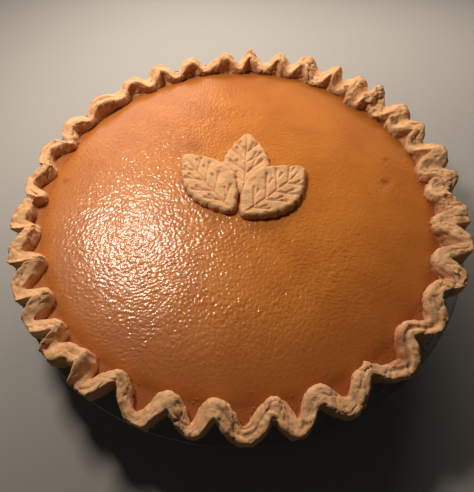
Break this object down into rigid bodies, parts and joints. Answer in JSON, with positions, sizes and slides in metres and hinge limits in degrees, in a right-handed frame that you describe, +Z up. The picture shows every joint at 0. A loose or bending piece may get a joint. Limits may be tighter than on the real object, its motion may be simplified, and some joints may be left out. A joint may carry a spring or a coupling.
{
  "type": "pumpkin pie in a glass pie plate",
  "caption": "Whole round custard pie in a clear glass pie plate, with a pinched pastry rim and pastry leaves lying on the domed filling.",
  "frame": {"origin": "on the table, under the middle of the glass plate", "axes": "+Z up, +Y towards the back of the pie, where the middle leaf points, +X to the right as seen from the front"},
  "size_m": [0.26, 0.26, 0.0574],
  "materials": {
    "dish_glass": "clear pressed glass with a faint grey-green edge",
    "crust_pastry": "baked shortcrust, dry and matt, golden tan with browner edges",
    "pumpkin_custard": "set pumpkin custard, orange-brown, moist and finely pebbled",
    "leaf_pastry": "pale baked shortcrust, matt, lightly browned at the edges"
  },
  "bodies": {
    "root": {"glass_dish": "dish_glass", "crust": "crust_pastry", "filling": "pumpkin_custard", "leaf_left": "leaf_pastry", "leaf_right": "leaf_pastry", "leaf_back": "leaf_pastry"}
  },
  "joints": []
}
